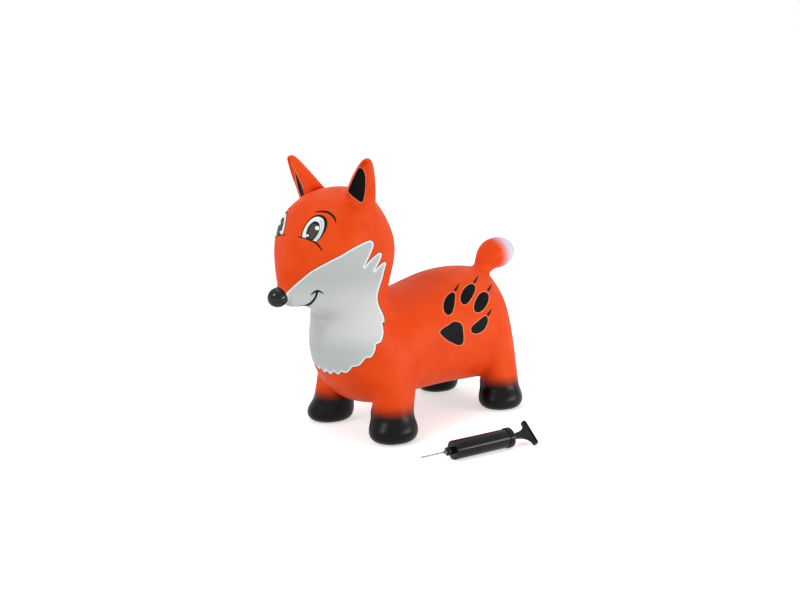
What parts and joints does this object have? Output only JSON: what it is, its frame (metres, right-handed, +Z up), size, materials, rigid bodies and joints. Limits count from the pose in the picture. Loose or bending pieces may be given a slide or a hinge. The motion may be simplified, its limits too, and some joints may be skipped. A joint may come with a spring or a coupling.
{
  "type": "inflatable ride-on animal",
  "caption": "Inflatable vinyl fox that a small child sits and bounces on, with a self-sealing belly valve and a hand pump with a ball needle.",
  "frame": {"origin": "middle of the whole set's outline on the floor", "axes": "+Z up; the fox faces -Y, and its left side, where the pump lies, is towards +X"},
  "size_m": [0.4162, 0.6272, 0.5057],
  "materials": {
    "orange_vinyl": "satin soft vinyl",
    "white_vinyl": "satin soft vinyl",
    "black_rubber": "matt",
    "black_plastic": "gloss",
    "nickel_steel": "polished nickel plate"
  },
  "bodies": {
    "fox": {"skin": "orange_vinyl", "valve_seat": "white_vinyl", "valve_core": "black_rubber"},
    "plug": {"valve_plug": "white_vinyl"},
    "pump": {"pump_barrel": "black_plastic", "barrel_end_cap": "black_plastic", "nozzle_nut": "black_plastic", "check_valve": "black_rubber"},
    "cup": {"piston_cup": "black_rubber"},
    "plunger": {"plunger_rod": "black_plastic", "t_handle": "black_plastic", "piston_head": "black_plastic", "piston_screw": "nickel_steel"},
    "washer": {"needle_washer": "black_rubber"},
    "needle": {"needle_hub": "nickel_steel", "needle_tube": "nickel_steel"}
  },
  "joints": [
    {"name": "plug_pull", "type": "slide", "parent": "fox", "child": "plug", "axis": [0, 0, -1], "range_m": [0, 0.012]},
    {"name": "pump_lift", "type": "slide", "parent": "fox", "child": "pump", "axis": [0, 0, 1], "range_m": [0, 0.15]},
    {"name": "plunger_slide", "type": "slide", "parent": "pump", "child": "cup", "axis": [0.2215, 0.9751, 0.0119], "range_m": [0, 0.1]},
    {"name": "handle_turn", "type": "hinge", "parent": "cup", "child": "plunger", "pos_m": [0.13653, -0.16971, 0.01596], "axis": [0.2215, 0.9751, 0.0119], "continuous": true},
    {"name": "washer_slide", "type": "slide", "parent": "pump", "child": "washer", "axis": [-0.2215, -0.9751, -0.0119], "range_m": [0, 0.00635]},
    {"name": "needle_turn", "type": "hinge", "parent": "washer", "child": "needle", "pos_m": [0.13653, -0.16971, 0.01596], "axis": [-0.2215, -0.9751, -0.0119], "range_deg": [0, 2880]}
  ],
  "couplings": [
    {"joint": "needle_turn", "follows": "washer_slide", "rad_per_m": 7911.4}
  ]
}
